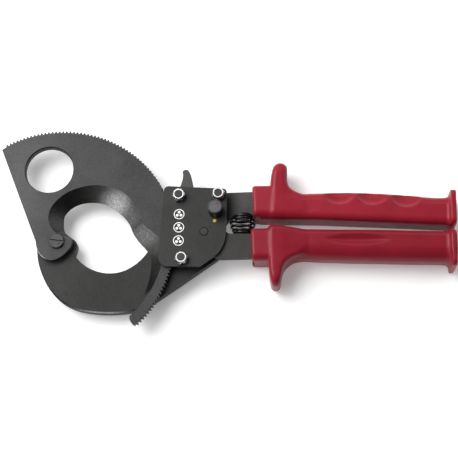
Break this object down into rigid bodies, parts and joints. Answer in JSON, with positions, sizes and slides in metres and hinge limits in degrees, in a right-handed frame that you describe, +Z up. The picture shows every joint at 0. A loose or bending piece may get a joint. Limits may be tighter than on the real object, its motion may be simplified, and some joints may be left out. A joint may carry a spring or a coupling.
{
  "type": "ratchet cable cutter",
  "caption": "Ratchet cable cutter with a toothed curved blade, hooked lower jaw, covered pawl housing, lock knob and two red moulded handles.",
  "frame": {"origin": "middle of the footprint, on the surface the tool lies on", "axes": "+X from the blades to the handle ends, +Y towards the fixed upper handle, +Z up through the cover plate"},
  "size_m": [0.2804, 0.1251, 0.0284],
  "materials": {
    "black_steel": "black oxide, faint speckle, ground bevels slightly lighter",
    "cover_steel": "black coated plate, satin",
    "dark_steel": "black oxide fastener",
    "zinc": "bright zinc plated",
    "spring_steel": "black spring wire",
    "nylon": "natural nylon",
    "red_plastic": "dark red moulded, semi gloss",
    "black_plastic": "moulded, satin",
    "knob_steel": "turned face",
    "red_paint": "paint dot",
    "yellow_paint": "paint dot"
  },
  "bodies": {
    "frame": {"frame_plate": "black_steel", "cover_plate": "cover_steel", "index_dot": "yellow_paint", "pivot_screw": "dark_steel", "pivot_washer": "dark_steel", "pivot_nut": "dark_steel", "housing_screws": "dark_steel", "housing_nuts": "zinc", "nut_lock_rings": "nylon", "housing_bushes": "dark_steel", "handle_pivot_pin": "dark_steel", "upper_grip": "red_plastic", "handle_spring": "spring_steel"},
    "blade": {"moving_blade": "black_steel"},
    "handle": {"handle_lever": "black_steel", "lower_grip": "red_plastic", "drive_pawl_pin": "dark_steel"},
    "drive_pawl": {"drive_pawl": "dark_steel", "drive_pawl_spring": "spring_steel"},
    "holding_pawl": {"holding_pawl": "dark_steel", "holding_pawl_spring": "spring_steel"},
    "lock": {"lock_shaft": "knob_steel", "lock_knob": "black_plastic", "lock_dot": "red_paint", "lock_clip": "dark_steel"}
  },
  "joints": [
    {"name": "blade_pivot", "type": "hinge", "parent": "frame", "child": "blade", "pos_m": [-0.10295, -0.01015, 0.0144], "axis": [0, 0, 1], "range_deg": [-87.27, 96.36]},
    {"name": "handle_pivot", "type": "hinge", "parent": "frame", "child": "handle", "pos_m": [-0.01255, -0.00575, 0.0146], "axis": [0, 0, 1], "range_deg": [-30, 0], "deforming": ["handle_spring"]},
    {"name": "drive_pawl_pivot", "type": "hinge", "parent": "handle", "child": "drive_pawl", "pos_m": [-0.02095, 0.00035, 0.0158], "axis": [0, 0, 1], "range_deg": [0, 16]},
    {"name": "holding_pawl_pivot", "type": "hinge", "parent": "frame", "child": "holding_pawl", "pos_m": [-0.02805, 0.01705, 0.0137], "axis": [0, 0, 1], "range_deg": [-4.3, 6], "stiffness_Nm_per_rad": 0.05},
    {"name": "lock_turn", "type": "hinge", "parent": "frame", "child": "lock", "pos_m": [-0.00545, 0.00725, 0.0239], "axis": [0, 0, 1], "range_deg": [-150, 0]}
  ],
  "couplings": [
    {"joint": "drive_pawl_pivot", "follows": "handle_pivot", "ratio": -0.53}
  ]
}
